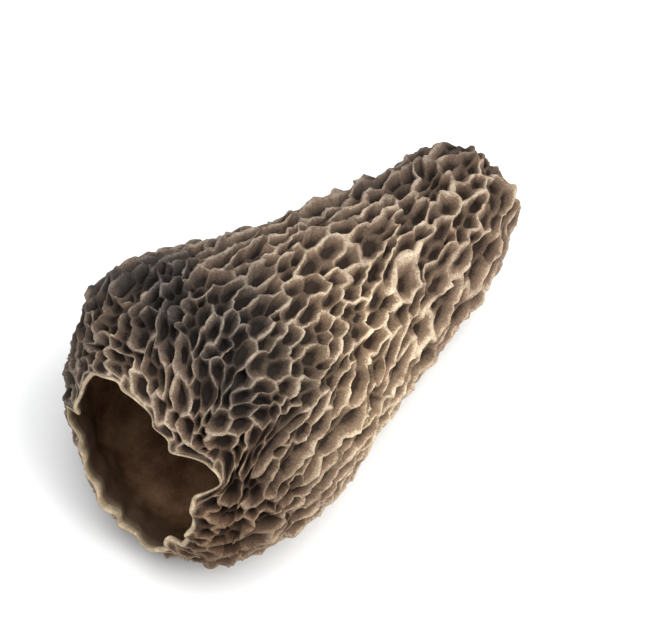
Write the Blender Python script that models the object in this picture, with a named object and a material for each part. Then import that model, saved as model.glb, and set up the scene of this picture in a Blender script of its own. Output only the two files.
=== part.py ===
"""Dried morel cap, one hollow piece, lying on its flattened side.

The cap is a leaning, blunt cone. Its wide end has a torn mouth where the stem was, and its outside
carries a raised net of sharp crests round deep pits. It is one closed solid: net, lip and hollow.

Frame: metres, +Z up, +X from the mouth to the tip, the origin on the floor under the middle of the cap.
"""

import math
import random

import bmesh
import bpy
import numpy as np

MM = 0.001

# Driving sizes
CAP_LENGTH = 55.0 * MM  # from the mouth's plane to the tip, along the axis
SHOULDER_RADIUS = 15.8 * MM  # at the crests, where the cap is widest
NET_DEPTH = 1.5 * MM  # from a crest down to the floor of a pit
WALL = 0.8 * MM  # between a pit's floor and the hollow
LIP_THICKNESS = 0.9 * MM
CELL_SPACING = 2.8 * MM  # across a pit, from crest to crest
CELL_STRETCH = 1.3  # how much longer a pit is along the axis

# The outline of half the cap as (share of the length, share of the shoulder's radius), mouth to tip
PROFILE = (
    (0.000, 0.52),
    (0.018, 0.66),
    (0.055, 0.82),
    (0.110, 0.94),
    (0.190, 1.00),
    (0.320, 0.93),
    (0.460, 0.79),
    (0.620, 0.64),
    (0.780, 0.52),
    (0.890, 0.44),
    (0.965, 0.29),
    (1.000, 0.00),
)

# Tears in the mouth's edge: (turn in degrees, share of the profile torn away, half width in degrees)
MOUTH_TEARS = (
    (-91.0, 0.030, 9.0),
    (-22.0, 0.040, 38.0),
    (43.0, 0.075, 12.0),
    (162.0, 0.032, 26.0),
)
TEAR_FADE = 3  # power by which a tear's pull on the surface dies away from the mouth

# Long swellings of the body: (waves round it, share of the radius, phase, twist along the whole length)
BODY_SWELLS = (
    (2, 0.022, 0.6, 0.5),
    (3, 0.018, 2.1, 1.6),
    (5, 0.011, 0.4, -2.2),
)
SHIFT_TURN = math.radians(114.0)  # the side that the mouth is shifted to, and the tip away from
MOUTH_SHIFT = 1.2 * MM
MOUTH_SHIFT_RUN = 8.0 * MM
TIP_SHIFT = 0.9 * MM
TIP_SHIFT_RUN = 14.0 * MM

# The belly is pressed flat where it lies on the floor
SHOULDER_HEIGHT = 13.7 * MM  # of the axis over the floor, square to the axis, at the shoulder
TIP_HEIGHT = 6.5 * MM  # the same near the tip
SHOULDER_AT = 0.19 * CAP_LENGTH
TIP_AT = 0.89 * CAP_LENGTH
BELLY_SHARPNESS = 30.0  # how quickly the round side turns into the flat belly
BELLY_SINK = 0.30 * MM  # crests on the belly reach this far under the floor, and are trimmed at it

CENTRE_X = 26.3 * MM  # from the mouth's plane to the middle of the cap, along X
CENTRE_Y = -0.15 * MM

SEED = 11
DARTS = 9000
RIM_SEEDS = 22
TIP_SEED_ALONG = 0.995
PIT_INSET = 0.34  # how far a pit's floor corners lie towards its middle
NET_RUN_IN = 2.2 * MM  # the net rises from the mouth's smooth margin over this length
HOLLOW_RINGS = 13
HOLLOW_RUN_IN = 4.0 * MM  # over which the lip thickens to the full wall
CREST_ANGLE = math.radians(35.0)  # edges that bend more than this are shaded sharp
WOBBLE = 0.35 * MM  # irregular drift of the crests
WOBBLE_LENGTH = 6.0 * MM
WOBBLE_WAVES = 9

SKIN_COLOUR = (0.150, 0.098, 0.062, 1.0)
SKIN_ROUGHNESS = 0.85


def smooth_step(share):
    """0 to 1 with level ends."""
    share = np.clip(share, 0.0, 1.0)
    return share * share * (3.0 - 2.0 * share)


def profile_table(samples=801):
    """Arrays down the outline, on a smooth curve through PROFILE: share of the run, length along the axis,
    radius, and the outward normal's two parts, along the axis and out from it."""
    points = np.array(PROFILE) * (CAP_LENGTH, SHOULDER_RADIUS)
    before = 2 * points[0] - points[1]
    after = points[-2] * (1, -1)  # its mirror image, so that the tip is round
    points = np.vstack([before, points, after])
    knots = np.concatenate([[0.0], np.cumsum(np.linalg.norm(np.diff(points, axis=0), axis=1))])
    slopes = (points[2:] - points[:-2]) / (knots[2:] - knots[:-2])[:, None]
    knots, points = knots[1:-1], points[1:-1]
    run = np.linspace(knots[0], knots[-1], samples)
    piece = np.clip(np.searchsorted(knots, run, side="right") - 1, 0, len(knots) - 2)
    width = (knots[piece + 1] - knots[piece])[:, None]
    t = (run - knots[piece])[:, None] / width
    curve = (
        (1 + 2 * t) * (1 - t) ** 2 * points[piece]
        + t * (1 - t) ** 2 * width * slopes[piece]
        + t * t * (3 - 2 * t) * points[piece + 1]
        + t * t * (t - 1) * width * slopes[piece + 1]
    )
    tangent = np.gradient(curve, axis=0)
    tangent /= np.linalg.norm(tangent, axis=1)[:, None]
    return np.linspace(0, 1, samples), curve[:, 0], curve[:, 1], -tangent[:, 1], tangent[:, 0]


RUN, RUN_LENGTH, RUN_RADIUS, RUN_NORMAL_ALONG, RUN_NORMAL_OUT = profile_table()
LEAN = math.atan((SHOULDER_HEIGHT - TIP_HEIGHT) / (TIP_AT - SHOULDER_AT))
MOUTH_HEIGHT = (SHOULDER_HEIGHT + SHOULDER_AT * math.tan(LEAN)) * math.cos(LEAN)
AXIS = np.array((math.cos(LEAN), 0.0, -math.sin(LEAN)))
UPWARD = np.array((math.sin(LEAN), 0.0, math.cos(LEAN)))
SIDEWARD = np.array((0.0, -1.0, 0.0))


def torn_share(turn, along):
    """The share of the profile's run at a point, once the tears have pulled the mouth's edge back."""
    torn = np.zeros_like(turn)
    for centre, reach, half_width in MOUTH_TEARS:
        off = (np.degrees(turn) - centre + 180.0) % 360.0 - 180.0
        torn += reach * np.exp(-((off / half_width) ** 2))
    return along + torn * (1.0 - along) ** TEAR_FADE


def skin(turn, along, depth):
    """Points at a turn round the axis (0 is up, a quarter turn is the -Y side), a share of the way from
    the mouth to the tip, and a depth under the crests. Radius is the profile's, swollen by the body's
    long waves, and no more than what the floor leaves under the axis; the depth runs along the normal."""
    share = torn_share(turn, along)
    length = np.interp(share, RUN, RUN_LENGTH)
    radius = np.interp(share, RUN, RUN_RADIUS)
    swell = 1.0
    for waves, size, phase, twist in BODY_SWELLS:
        swell = swell + size * np.cos(waves * turn + phase + twist * length / CAP_LENGTH)
    radius = radius * swell
    below = np.maximum(-np.cos(turn), 1e-3)
    height = (MOUTH_HEIGHT - length * math.sin(LEAN)) / math.cos(LEAN) + BELLY_SINK
    floor_radius = height / below
    radius = -np.logaddexp(-BELLY_SHARPNESS * radius / SHOULDER_RADIUS,
                           -BELLY_SHARPNESS * floor_radius / SHOULDER_RADIUS)
    radius = radius * SHOULDER_RADIUS / BELLY_SHARPNESS
    length = length - depth * np.interp(share, RUN, RUN_NORMAL_ALONG)
    radius = np.maximum(radius - depth * np.interp(share, RUN, RUN_NORMAL_OUT), 0.0)
    shift = MOUTH_SHIFT * (1 - smooth_step(length / MOUTH_SHIFT_RUN))
    shift = shift - TIP_SHIFT * smooth_step((length - CAP_LENGTH) / TIP_SHIFT_RUN + 1)
    up = radius * np.cos(turn) + shift * math.cos(SHIFT_TURN)
    side = radius * np.sin(turn) + shift * math.sin(SHIFT_TURN)
    points = length[..., None] * AXIS + up[..., None] * UPWARD + side[..., None] * SIDEWARD
    return points + np.array((-CENTRE_X, -CENTRE_Y, MOUTH_HEIGHT))


def latitude_table():
    """For each share of the run, the latitude (as its isometric value) that lays the stretched skin on a
    ball with its angles kept: the integral of the stretched arc over the radius."""
    step = np.hypot(np.diff(RUN_LENGTH) / CELL_STRETCH, np.diff(RUN_RADIUS))
    middle = np.maximum((RUN_RADIUS[1:] + RUN_RADIUS[:-1]) / 2, 0.02 * MM)
    value = np.concatenate([[0.0], np.cumsum(step / middle)])
    return value - np.interp(0.3, RUN, value)


LATITUDE = latitude_table()


def on_ball(turn, along):
    """The point of the unit ball that stands for a point of the skin."""
    z = np.tanh(np.interp(along, RUN, LATITUDE))
    ring = np.sqrt(1.0 - z * z)
    return np.stack([ring * np.cos(turn), ring * np.sin(turn), z], axis=-1)


def off_ball(points):
    """Turn and share of the way along for points of the ball, the other way round."""
    points = points / np.linalg.norm(points, axis=-1, keepdims=True)
    value = np.arctanh(np.clip(points[..., 2], -0.9999999, 0.9999999))
    return np.arctan2(points[..., 1], points[..., 0]), np.interp(value, LATITUDE, RUN)


def scatter_pits():
    """Turns and shares along of the pits' middles: a ring on the mouth's edge first, one at the tip, then
    random darts that keep their distance from those already there."""
    draw = random.Random(SEED)
    pits = [(2 * math.pi * (k + draw.uniform(-0.16, 0.16)) / RIM_SEEDS, 0.0) for k in range(RIM_SEEDS)]
    pits.append((0.0, TIP_SEED_ALONG))

    def place(turn, along):
        radius = np.interp(along, RUN, RUN_RADIUS)
        length = np.interp(along, RUN, RUN_LENGTH) / CELL_STRETCH
        return np.array((length, radius * math.cos(turn), radius * math.sin(turn)))

    places = [place(*pit) for pit in pits]
    for _ in range(DARTS):
        turn = draw.uniform(-math.pi, math.pi)
        along = draw.random()
        if draw.random() > np.interp(along, RUN, RUN_RADIUS) / SHOULDER_RADIUS:
            continue
        spot = place(turn, along)
        if np.min(np.linalg.norm(np.array(places) - spot, axis=1)) > 0.86 * CELL_SPACING:
            pits.append((turn, along))
            places.append(spot)
    return np.array(pits)


def neighbour_triangles(ball_points):
    """Triangles between neighbouring pits: the faces of the convex hull of their points on the ball, without
    those that close the mouth."""
    ball = bmesh.new()
    for point in ball_points:
        ball.verts.new(point)
    ball.verts.index_update()
    bmesh.ops.convex_hull(ball, input=ball.verts[:])
    ball.normal_update()
    triangles = []
    for face in ball.faces:
        corners = [vert.index for vert in face.verts]
        if face.normal.dot(face.calc_center_median()) < 0:
            corners.reverse()
        if max(corners) >= RIM_SEEDS:
            triangles.append(corners)
    ball.free()
    return np.array(triangles)


def rings_round(ball_points, triangles):
    """For each pit, the triangles that touch it, in order round it. An open ring starts at its gap."""
    corner = triangles.ravel()
    owner = np.repeat(np.arange(len(triangles)), 3)
    middles = ball_points[triangles].mean(axis=1)[owner]
    centres = ball_points[corner]
    east = np.cross(np.array((0.0, 0.0, 1.0)), centres)
    east[np.linalg.norm(east, axis=1) < 1e-9] = (1.0, 0.0, 0.0)
    north = np.cross(centres, east)
    angle = np.arctan2((middles * north).sum(1) / np.linalg.norm(north, axis=1),
                       (middles * east).sum(1) / np.linalg.norm(east, axis=1))
    order = np.lexsort((angle, corner))
    rings = []
    for pit in range(len(ball_points)):
        mine = order[corner[order] == pit]
        if pit < RIM_SEEDS and len(mine):
            gaps = np.diff(np.append(angle[mine], angle[mine[0]] + 2 * math.pi))
            mine = np.roll(mine, -1 - int(np.argmax(gaps)))
        rings.append(owner[mine])
    return rings


def wobble(points):
    """A smooth drift that moves the net's corners off their even places: a sum of sine waves."""
    draw = random.Random(SEED + 1)
    drift = np.zeros_like(points)
    for _ in range(WOBBLE_WAVES):
        wave = np.array([draw.gauss(0, 1) for _ in range(3)])
        wave *= 2 * math.pi / WOBBLE_LENGTH / np.linalg.norm(wave)
        way = np.array([draw.gauss(0, 1) for _ in range(3)])
        phase = draw.uniform(0, 2 * math.pi)
        drift += np.sin(points @ wave + phase)[:, None] * way
    return drift * WOBBLE / math.sqrt(WOBBLE_WAVES)


def net_rise(along):
    """How high the net stands at a share of the way along: nothing on the mouth's margin, then all."""
    return smooth_step(np.interp(along, RUN, RUN_LENGTH) / NET_RUN_IN - 0.15)


def build_net(cap):
    """Adds the net to the cap's mesh. Returns the vertices of the mouth's edge, in order round it, and
    their turns."""
    pits = scatter_pits()
    ball_points = on_ball(pits[:, 0], pits[:, 1])
    triangles = neighbour_triangles(ball_points)
    rings = rings_round(ball_points, triangles)

    node_turn, node_along = off_ball(ball_points[triangles].mean(axis=1))
    even_points = skin(node_turn, node_along, np.zeros(len(triangles)))
    crest_points = even_points + wobble(even_points) * net_rise(node_along)[:, None]
    crests = [cap.verts.new(point) for point in crest_points]

    edge_turn = np.repeat(pits[:RIM_SEEDS, 0], 2)
    after = np.roll(pits[:RIM_SEEDS, 0], -1)
    after[-1] += 2 * math.pi
    edge_turn[1::2] = (pits[:RIM_SEEDS, 0] + after) / 2
    at_edge = np.zeros_like(edge_turn)
    mouth_edge = [cap.verts.new(point) for point in skin(edge_turn, at_edge, at_edge)]
    for k in range(RIM_SEEDS):
        corners = [crests[t] for t in rings[k]]
        cap.faces.new([mouth_edge[2 * k - 1], mouth_edge[2 * k], mouth_edge[2 * k + 1], *corners])

    whole = range(RIM_SEEDS, len(pits))
    faces = {pit: cap.faces.new([crests[t] for t in rings[pit]]) for pit in whole}
    bmesh.ops.inset_individual(cap, faces=list(faces.values()), thickness=0.0, use_even_offset=False)
    middle_depth = NET_DEPTH * net_rise(pits[:, 1])
    middles = skin(pits[:, 0], pits[:, 1], middle_depth)
    corner_depth = NET_DEPTH * net_rise(node_along)
    deep_corners = crest_points + skin(node_turn, node_along, corner_depth) - even_points
    for pit, face in faces.items():
        for vert in face.verts:
            node = min(rings[pit], key=lambda t: (crests[t].co - vert.co).length_squared)
            vert.co = deep_corners[node] * (1 - PIT_INSET) + middles[pit] * PIT_INSET
    bmesh.ops.poke(cap, faces=list(faces.values()), center_mode="MEAN")
    return mouth_edge, edge_turn


def build_hollow(cap, mouth_edge, turns):
    """Adds the lip and the hollow's wall: rings from the mouth's edge to a point under the tip."""
    columns = len(mouth_edge)
    before = mouth_edge
    for ring in range(HOLLOW_RINGS):
        along = np.full(columns, (ring / HOLLOW_RINGS) ** 1.15)
        run_in = smooth_step(np.interp(along, RUN, RUN_LENGTH) / HOLLOW_RUN_IN)
        depth = LIP_THICKNESS + (NET_DEPTH + WALL - LIP_THICKNESS) * run_in
        here = [cap.verts.new(point) for point in skin(turns, along, depth)]
        for k in range(columns):
            cap.faces.new([before[k], before[k - 1], here[k - 1], here[k]])
        before = here
    tip = cap.verts.new(skin(np.zeros(1), np.ones(1), np.full(1, NET_DEPTH + WALL))[0])
    for k in range(columns):
        cap.faces.new([before[k], before[k - 1], tip])


def trim_at_floor(cap_object):
    """Cuts the belly's crests off level with the floor, by a Boolean with a block under it."""
    block = bmesh.new()
    bmesh.ops.create_cube(block, size=1.0)
    bmesh.ops.scale(block, vec=(2 * CAP_LENGTH, 2 * CAP_LENGTH, 10 * MM), verts=block.verts)
    bmesh.ops.translate(block, vec=(0, 0, -5 * MM), verts=block.verts)
    mesh = bpy.data.meshes.new("floor_cutter")
    block.to_mesh(mesh)
    block.free()
    cutter = bpy.data.objects.new("floor_cutter", mesh)
    bpy.context.scene.collection.objects.link(cutter)
    cutter.hide_render = True
    cutter.display_type = "WIRE"
    trim = cap_object.modifiers.new("flat_belly", "BOOLEAN")
    trim.operation = "DIFFERENCE"
    trim.object = cutter


def dried_skin():
    """The dull brown of dried morel."""
    material = bpy.data.materials.new("dried_skin")
    material.use_nodes = True
    shader = material.node_tree.nodes["Principled BSDF"]
    shader.inputs["Base Color"].default_value = SKIN_COLOUR
    shader.inputs["Roughness"].default_value = SKIN_ROUGHNESS
    shader.inputs["Metallic"].default_value = 0.0
    return material


def main():
    for old in list(bpy.data.objects):
        bpy.data.objects.remove(old)
    cap = bmesh.new()
    mouth_edge, edge_turns = build_net(cap)
    build_hollow(cap, mouth_edge, edge_turns)
    bmesh.ops.recalc_face_normals(cap, faces=cap.faces)
    mesh = bpy.data.meshes.new("morel_cap")
    cap.to_mesh(mesh)
    cap.free()
    mesh.materials.append(dried_skin())
    mesh.shade_smooth()
    mesh.set_sharp_from_angle(angle=CREST_ANGLE)
    morel = bpy.data.objects.new("morel_cap", mesh)
    bpy.context.scene.collection.objects.link(morel)
    trim_at_floor(morel)


main()
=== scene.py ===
"""Dried morel cap: the fine skin, its finish, the light and the camera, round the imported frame.

The skin is one closed mesh that stands for the frame's plain solid. It has the same cone, mouth, hollow
and flattened belly. Its net is finer: about 1,200 pits, in families, between thin, wavy crests.
"""

import math

import bmesh
import bpy
import numpy as np
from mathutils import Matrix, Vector


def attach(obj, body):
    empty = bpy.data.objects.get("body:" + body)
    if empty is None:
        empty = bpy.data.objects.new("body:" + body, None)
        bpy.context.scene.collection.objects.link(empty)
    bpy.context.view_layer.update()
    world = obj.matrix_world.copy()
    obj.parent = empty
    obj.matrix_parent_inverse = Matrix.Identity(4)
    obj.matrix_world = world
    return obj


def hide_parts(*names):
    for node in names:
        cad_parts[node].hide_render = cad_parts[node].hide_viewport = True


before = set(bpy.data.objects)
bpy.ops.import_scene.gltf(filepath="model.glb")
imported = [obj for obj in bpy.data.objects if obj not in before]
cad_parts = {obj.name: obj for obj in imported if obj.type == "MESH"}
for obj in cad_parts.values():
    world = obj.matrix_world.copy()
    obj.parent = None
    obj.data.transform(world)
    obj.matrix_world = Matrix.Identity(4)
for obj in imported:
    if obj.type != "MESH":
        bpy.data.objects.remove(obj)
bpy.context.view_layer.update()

MM = 0.001
TINY = 0.01 * MM  # stands for any shorter length where something is divided by it

# The form, as in the frame's solid, but for a blunter tip
CAP_LENGTH = 55.0 * MM
SHOULDER_RADIUS = 15.8 * MM
# The outline from the mouth to the tip: (share of the length, share of the shoulder's radius)
PROFILE = (
    (0.000, 0.52),
    (0.018, 0.66),
    (0.055, 0.82),
    (0.110, 0.94),
    (0.190, 1.00),
    (0.320, 0.93),
    (0.460, 0.79),
    (0.620, 0.64),
    (0.780, 0.52),
    (0.890, 0.45),
    (0.965, 0.33),
    (1.000, 0.00),
)
# Tears of the mouth's edge: (turn in degrees, share of the run torn off, half width in degrees)
MOUTH_TEARS = (
    (-91.0, 0.030, 9.0),
    (-22.0, 0.040, 38.0),
    (43.0, 0.075, 12.0),
    (162.0, 0.032, 26.0),
)
TEAR_FADE = 3  # the higher, the sooner a tear's pull dies away behind it
# Small nicks of the edge: (waves round it, share of the run, phase)
MOUTH_NICKS = (
    (7, 0.0030, 0.4),
    (12, 0.0026, 2.2),
    (19, 0.0018, 4.0),
)
NICK_FADE = 40
# Swells of the body: (waves round it, share of the radius, phase, twist from the mouth to the tip)
BODY_SWELLS = (
    (2, 0.022, 0.6, 0.5),
    (3, 0.018, 2.1, 1.6),
    (5, 0.011, 0.4, -2.2),
)
# The mouth is shifted across the axis, and the tip the other way
SHIFT_TURN = math.radians(114.0)
MOUTH_SHIFT = 1.2 * MM
MOUTH_SHIFT_RUN = 8.0 * MM
TIP_SHIFT = 0.9 * MM
TIP_SHIFT_RUN = 14.0 * MM
# A slight bend towards the -Y side, which the solid doesn't have
BEND = 0.65 * MM
BEND_AT = 27.0 * MM
BEND_REACH = 9.0 * MM
# How high the axis is at the shoulder and near the tip, which sets how the cap leans
SHOULDER_HEIGHT = 13.7 * MM
TIP_HEIGHT = 6.5 * MM
SHOULDER_AT = 0.19 * CAP_LENGTH
TIP_AT = 0.89 * CAP_LENGTH
BELLY_SHARPNESS = 30.0  # how suddenly the body turns into the flattened belly
BELLY_SINK = 0.30 * MM  # how far the belly's crests would go under the floor
# The point of the axis that lies over the origin
CENTRE_X = 26.3 * MM
CENTRE_Y = -0.15 * MM

# The net: ribs, which are high crests round families of pits, and lower folds between the pits of a family
SEED = 23
RIM_PITS = 46  # pits on the mouth's edge
RIM_JITTER = 0.18  # how far the rim's pits are from even places, as a share of their spacing
LAST_PIT = 0.996  # where the pit at the tip is, as a share of the way along
PIT_DARTS = 14000  # random places that are tried
FAMILY_DARTS = 4000
# The least distance between two pits' middles, across the axis: (run from the mouth's edge, distance)
PIT_SPACING = (
    (0.0 * MM, 0.94 * MM),
    (14.0 * MM, 1.00 * MM),
    (26.0 * MM, 1.14 * MM),
    (40.0 * MM, 1.30 * MM),
    (58.0 * MM, 1.42 * MM),
)
SPACING_SPREAD = 0.16  # how much it varies over the cap
SPACING_WAVE = 7.0 * MM
PIT_SPREAD = 0.28  # how much it varies from one pit to the next
WIDE_SIDE = 0.15  # how much wider it is on the side that faces WIDE_TURN
WIDE_TURN = 95.0
WIDE_REACH = 38.0
FAMILY_SPACING = 1.55  # times as far apart as pits, across the axis
FAMILY_STRETCH = 1.35  # times as long, besides, as a family would be at the pits' stretch
# How many times longer than wide the pits are: (run from the mouth's edge, stretch)
PIT_STRETCH = (
    (0.0 * MM, 1.00),
    (5.0 * MM, 1.15),
    (14.0 * MM, 1.90),
    (42.0 * MM, 1.90),
    (56.0 * MM, 1.45),
    (64.0 * MM, 1.00),
)
TWIST = math.radians(-14.0)  # angle between the ribs and the cap's length
TWIST_LEAST_RADIUS = 0.8 * MM
TIP_RADIUS = 0.02 * MM  # the least radius that the ball's latitude is worked out with
NEAR_POLE = 0.9999999  # the highest place on the ball that has a latitude
EQUATOR_AT = 0.3  # share of the way along that is on the ball's equator
NET_DEPTH = 1.60 * MM  # from the highest crests to a middling pit's floor
SHALLOWEST_PIT = 0.80  # shares of the net's depth
DEEPEST_PIT = 1.12
NET_RUN_IN = 3.0 * MM  # how far from the mouth's edge the net reaches its depth
CROSS_RIB = 0.78  # height of ribs that run round the cap, as a share of those that run along it
FOLD = 0.49  # height of folds that run along the cap, and of those that run round it
CROSS_FOLD = 0.31
CROSS_REACH = 11.0 * MM  # how far from the mouth crests that run round it are as high as the others
CREST_SPREAD = 0.12  # how far heights are off that at most, a little more often down than up
CORNER_POWER = 6  # the higher, the nearer a corner is to its highest crest
MIDWAY_SAG = 0.85  # share of the way from its corners' height to its own that a crest is at midway
EDGE_STEPS = 3
# Rings from a crest to a pit's middle: (share of the way to the middle, share of the pit's depth)
PIT_RINGS = ((0.00, 0.00), (0.12, 0.10), (0.34, 0.44), (0.62, 0.95))
BROAD_RINGS = (0.00, 0.17, 0.40, 0.67)  # the first shares again, towards the tip, where crests are broad
BROAD_FROM = 24.0 * MM
BROAD_FADE = 14.0 * MM
RING_SPREAD = 0.24  # how much the shares vary from pit to pit
MIDDLE_DEPTH = 1.03  # depth of a pit's middle, as a share of the pit's

# The lip and the hollow
LIP_THICKNESS = 0.38 * MM
LIP_STEPS = 4
LIP_SPREAD = 0.40  # how much its thickness varies round the mouth
LIP_SPREAD_WAVE = 3.0 * MM
HOLLOW_RINGS = 30
HOLLOW_CROWDING = 1.6  # how much closer the rings are by the mouth
HOLLOW_RUN_IN = 5.0 * MM  # how far from the mouth's edge the wall is under the deepest pits
LIP_STEP = 0.004  # share of the way along over which the way out of the mouth is measured

# How far the surface drifts off its even places, and over what lengths
BODY_SEED = 379
BODY_DRIFT = 0.22 * MM
BODY_WAVE = 13.0 * MM
NET_DRIFT = 0.19 * MM
NET_WAVE = 2.6 * MM
LEAN_DRIFT = 0.11 * MM
LEAN_WAVE = 4.0 * MM
CREST_DRIFT = 0.09 * MM
CREST_WAVE = 1.2 * MM
FLOOR_SHARE = 0.25  # share of the net's drift that the pits' floors have
WRINKLE = 0.035 * MM
WRINKLE_WAVE = 0.8 * MM
LIP_CURL = 0.20 * MM
LIP_CURL_WAVE = 3.4 * MM
LIP_CURL_FADE = 2.0 * MM
HOLLOW_DRIFT = 0.07 * MM
HOLLOW_WAVE = 2.2 * MM

# Where the colour changes over the cap: turns in degrees, and distances from the mouth's edge. The grey and
# painted shade mask rises behind the mouth and dies away along the cap, but on the +Y side it goes on to the
# tip. Behind the mouth it is partly the skin's own grey-black and partly painted shade. On the +Y side it is
# painted shade of the far side.
GREY_AND_PAINTED_SHADE_TURN = -18.0
GREY_AND_PAINTED_SHADE_WIDTH = 68.0
GREY_AND_PAINTED_SHADE_FROM = 2.0 * MM
GREY_AND_PAINTED_SHADE_RISE = 8.0 * MM
GREY_AND_PAINTED_SHADE_REACH = 14.5 * MM
GREY_AND_PAINTED_SHADE_FADE = 12.0 * MM
# Painted shade along the whole +Y side: how strong, round which turn, and how wide
BACK_PAINTED_SHADE = 0.75
BACK_PAINTED_SHADE_TURN = -72.0
BACK_PAINTED_SHADE_WIDTH = 66.0
# Pale skin halfway along the -Y side: partly the skin's own colour, partly painted light on the lit side
PALE_AND_PAINTED_LIGHT_TURN = 60.0
PALE_AND_PAINTED_LIGHT_WIDTH = 47.0
PALE_AND_PAINTED_LIGHT_MIDDLE = 27.0 * MM
PALE_AND_PAINTED_LIGHT_REACH = 11.0 * MM
# Darker, browner colour on the -Y side near the mouth
BROWNER_BY_MOUTH_TURN = 95.0
BROWNER_BY_MOUTH_WIDTH = 60.0
BROWNER_BY_MOUTH_REACH = 20.0 * MM
LIP_FADE = 0.22 * MM
# How far into the hollow the painted shade on its wall reaches
RIM_PAINTED_SHADE_FADE = 5.0 * MM

# Colours, as linear red, green and blue
# Pit, flank and crest colours: the pits' darkness is partly painted shade, the crests' paleness partly
# painted highlight
PIT_TAN = (0.029, 0.017, 0.011)
FLANK_TAN = (0.212, 0.139, 0.092)
CREST_TAN = (0.550, 0.440, 0.320)
# Grey-black skin behind the mouth, partly painted shade, and painted shade along the +Y side
PIT_GREY_AND_PAINTED_SHADE = (0.007, 0.005, 0.004)
FLANK_GREY_AND_PAINTED_SHADE = (0.045, 0.035, 0.030)
CREST_GREY_AND_PAINTED_SHADE = (0.158, 0.129, 0.111)
# Pale skin on the -Y side, partly painted light
PIT_PALE_AND_PAINTED_LIGHT = (0.031, 0.018, 0.011)
FLANK_PALE_AND_PAINTED_LIGHT = (0.300, 0.202, 0.120)
CREST_PALE_AND_PAINTED_LIGHT = (0.880, 0.720, 0.500)
# The tint that makes the colour darker and browner there
BROWNER_BY_MOUTH = (0.44, 0.35, 0.28)
# The torn edge's pale colour: partly its own, partly painted light that brightens the edge where it faces
# down
LIP_PALE_AND_PAINTED_LIGHT = (0.640, 0.500, 0.330)
# Painted shade on the hollow's wall just inside the mouth
HOLLOW_RIM_PAINTED_SHADE = (0.056, 0.030, 0.017)
HOLLOW_DEEP = (0.104, 0.045, 0.018)
HOLLOW_WARM = (0.255, 0.145, 0.078)

# The finish. Height on the net turns the pits' colour into the flanks', and then into the crests'. The dark
# pits are partly painted shade and the pale crests partly painted highlight, over their own colours.
PIT_TO_FLANK = (0.18, 0.78)
FLANK_TO_CREST = (0.74, 1.00)
CRUMB_WEAR = 0.09  # how far crumbs shift that height up and down
GREY_AND_PAINTED_SHADE_BLOTCH = (0.30, 0.62, 0.55, 1.15)  # the blotches' low and high, and what they make of the mask there
PALE_AND_PAINTED_LIGHT_BLOTCH = (0.35, 0.65, 0.50, 1.10)
BLOTCH_SIZE = 6.0 * MM
PATCH_SIZE = 2.4 * MM
PATCH_SHADE = (0.82, 1.14)
SKIN_SHADE = (0.76, 1.15)
SKIN_ROUGHNESS = (0.92, 0.70)  # in the pits, and on the crests
SKIN_THREAD = 0.32 * MM
SKIN_BUMP = (0.14 * MM, 0.8)  # its depth and strength
HOLLOW_MOTTLE = 3.0 * MM
HOLLOW_SHADE = (0.75, 1.15)
HOLLOW_ROUGHNESS = (0.66, 0.86)
HOLLOW_THREAD = 0.60 * MM
HOLLOW_BUMP = (0.15 * MM, 0.6)
CRUMB_SIZE = 0.16 * MM
WORN_PATCH = 1.3 * MM  # size of the places where the torn edge's colour is worn
WORN_LEAST = 0.7  # share of it that is left there

# The stage
FLOOR_HALF = 2.0
FLOOR_MOTTLE = 60.0 * MM
FLOOR_GREY = (0.86, 0.86, 0.86)
FLOOR_WHITE = (0.90, 0.90, 0.90)
FLOOR_ROUGHNESS = 0.9
CAP_MIDDLE = (0.0, 0.0, 0.012)
WORLD_STRENGTH = 0.60
# Lamps: name, azimuth, elevation, distance, size, power, colour
LAMPS = (
    ("key", 30.0, 50.0, 0.60, 0.60, 3.4, (1.0, 0.985, 0.96)),
    ("top", -20.0, 84.0, 0.80, 0.70, 5.0, (0.97, 0.985, 1.0)),
)
CAMERA_AZIMUTH = -45.3
CAMERA_ELEVATION = 60.5
CAMERA_TARGET = (0.001, 0.0, 0.012)
CAMERA_DISTANCE = 0.36
LENS = 200.0


def smooth_step(share):
    """0 to 1 with level ends: three times the share's square less twice its cube."""
    share = np.clip(share, 0.0, 1.0)
    return share * share * (3.0 - 2.0 * share)


def profile_table(samples=1601):
    """Arrays down the outline, on a smooth curve through PROFILE: share of the run, length along the axis,
    radius, and the outward normal's two parts, along the axis and out from it."""
    points = np.array(PROFILE) * (CAP_LENGTH, SHOULDER_RADIUS)
    before = 2 * points[0] - points[1]
    after = points[-2] * (1, -1)
    points = np.vstack([before, points, after])
    knots = np.concatenate([[0.0], np.cumsum(np.linalg.norm(np.diff(points, axis=0), axis=1))])
    slopes = (points[2:] - points[:-2]) / (knots[2:] - knots[:-2])[:, None]
    knots, points = knots[1:-1], points[1:-1]
    run = np.linspace(knots[0], knots[-1], samples)
    piece = np.clip(np.searchsorted(knots, run, side="right") - 1, 0, len(knots) - 2)
    width = (knots[piece + 1] - knots[piece])[:, None]
    t = (run - knots[piece])[:, None] / width
    curve = (
        (1 + 2 * t) * (1 - t) ** 2 * points[piece]
        + t * (1 - t) ** 2 * width * slopes[piece]
        + t * t * (3 - 2 * t) * points[piece + 1]
        + t * t * (t - 1) * width * slopes[piece + 1]
    )
    tangent = np.gradient(curve, axis=0)
    tangent /= np.linalg.norm(tangent, axis=1)[:, None]
    return np.linspace(0, 1, samples), curve[:, 0], curve[:, 1], -tangent[:, 1], tangent[:, 0]


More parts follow.
